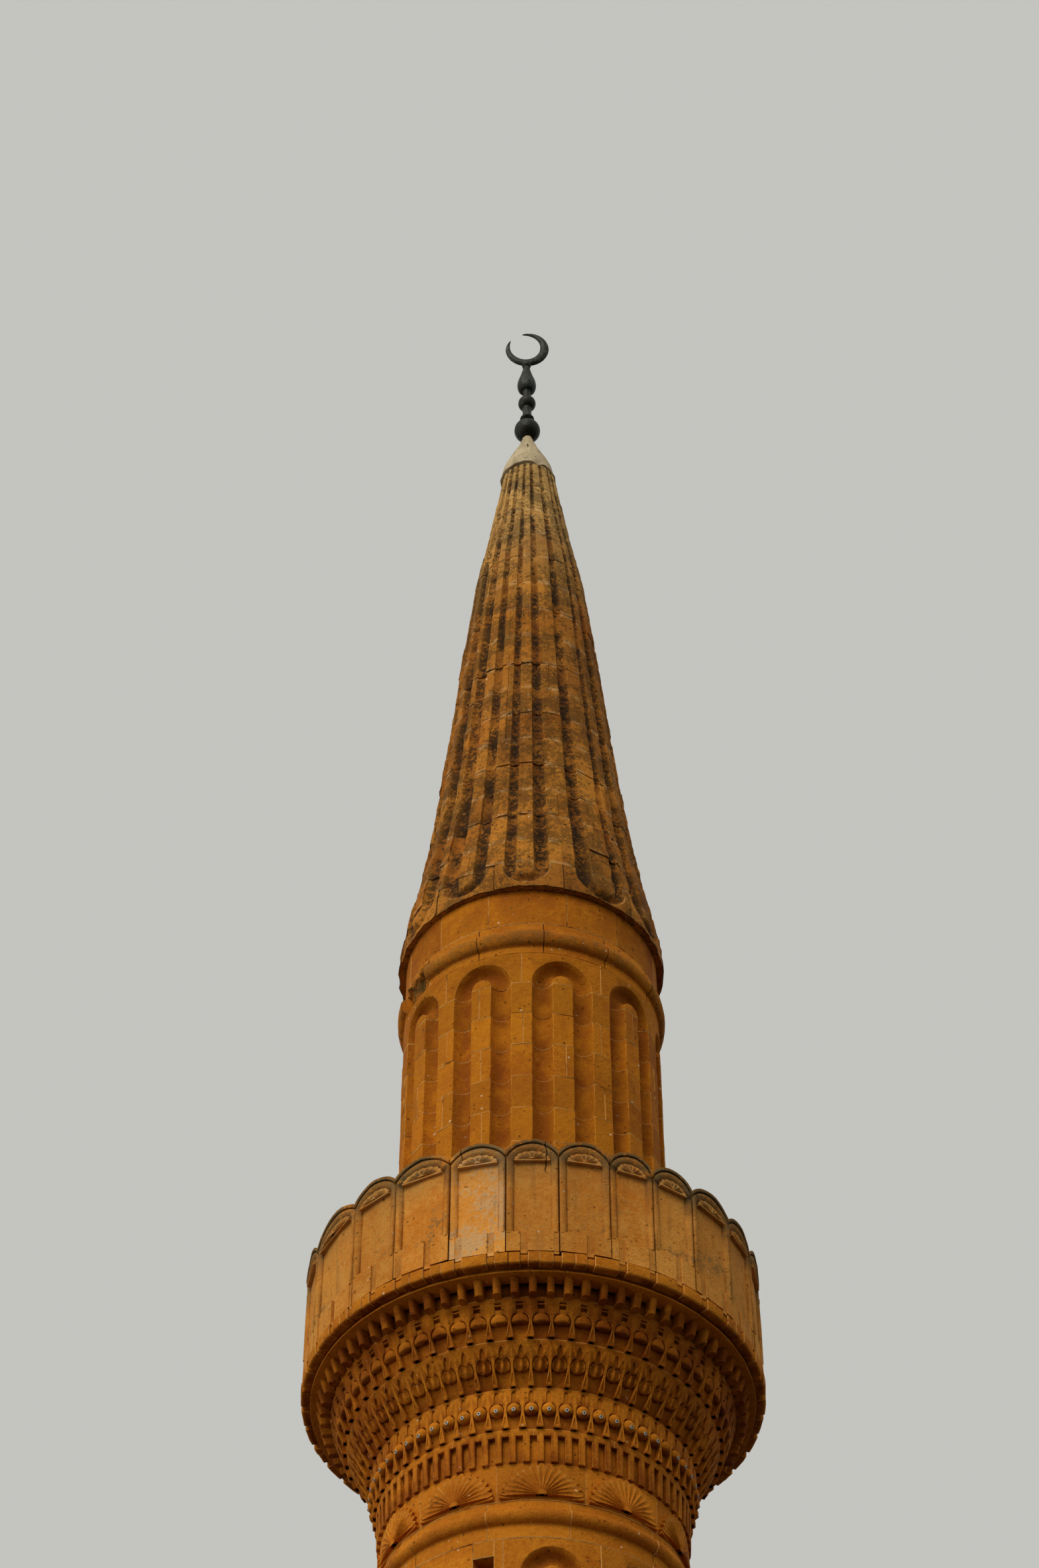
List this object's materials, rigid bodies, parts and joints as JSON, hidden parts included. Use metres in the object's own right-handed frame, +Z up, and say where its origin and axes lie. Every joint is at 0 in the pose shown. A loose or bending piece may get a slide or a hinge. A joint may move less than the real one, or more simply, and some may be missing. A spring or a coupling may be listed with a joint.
{
  "type": "stone minaret",
  "caption": "Stone minaret: square base, round shaft with blind arches, a balcony on carved corbels, arched drum, fluted spire and a bronze crescent finial.",
  "frame": {"origin": "centre of the plinth's underside, at ground level", "axes": "+Z up along the tower's axis, -Y towards the side seen in the picture, where the foot doorway is"},
  "size_m": [3.7347, 3.7357, 32.4816],
  "materials": {
    "base_stone": "dressed limestone, matte",
    "ochre_stone": "carved ochre limestone, matte",
    "parapet_stone": "weathered limestone with lichen",
    "spire_stone": "weathered limestone with black lichen",
    "cap_stone": "pale worn limestone",
    "bronze": "dark patinated bronze"
  },
  "bodies": {
    "root": {"base_plinth": "base_stone", "base_wall_left": "base_stone", "base_wall_right": "base_stone", "base_wall_back": "base_stone", "doorway_jamb_left": "base_stone", "doorway_jamb_right": "base_stone", "doorway_arch_wall": "base_stone", "base_cornice": "base_stone", "transition": "base_stone", "foot_ring": "ochre_stone", "shaft_lower": "ochre_stone", "middle_ring": "ochre_stone", "shaft_upper": "ochre_stone", "shaft_ring": "ochre_stone", "corbel_fans": "ochre_stone", "corbel_teeth": "ochre_stone", "corbel_balls": "ochre_stone", "corbel_lobes": "ochre_stone", "corbel_flasks": "ochre_stone", "corbel_billets": "ochre_stone", "balcony_cornice": "ochre_stone", "gallery_paving": "base_stone", "landing_floor": "base_stone", "parapet_stone_01": "parapet_stone", "parapet_stone_02": "parapet_stone", "parapet_stone_03": "parapet_stone", "parapet_stone_04": "parapet_stone", "parapet_stone_05": "parapet_stone", "parapet_stone_06": "parapet_stone", "parapet_stone_07": "parapet_stone", "parapet_stone_08": "parapet_stone", "parapet_stone_09": "parapet_stone", "parapet_stone_10": "parapet_stone", "parapet_stone_11": "parapet_stone", "parapet_stone_12": "parapet_stone", "parapet_stone_13": "parapet_stone", "drum_lower": "ochre_stone", "drum_upper": "ochre_stone", "drum_ring": "ochre_stone", "frieze": "ochre_stone", "spire_foot": "spire_stone", "spire_lower": "spire_stone", "spire_middle": "spire_stone", "spire_top": "spire_stone", "cap_stone": "cap_stone", "finial_ball": "bronze", "finial_disc": "bronze", "finial_middle_ball": "bronze", "finial_pear": "bronze", "finial_crescent": "bronze"}
  },
  "joints": []
}
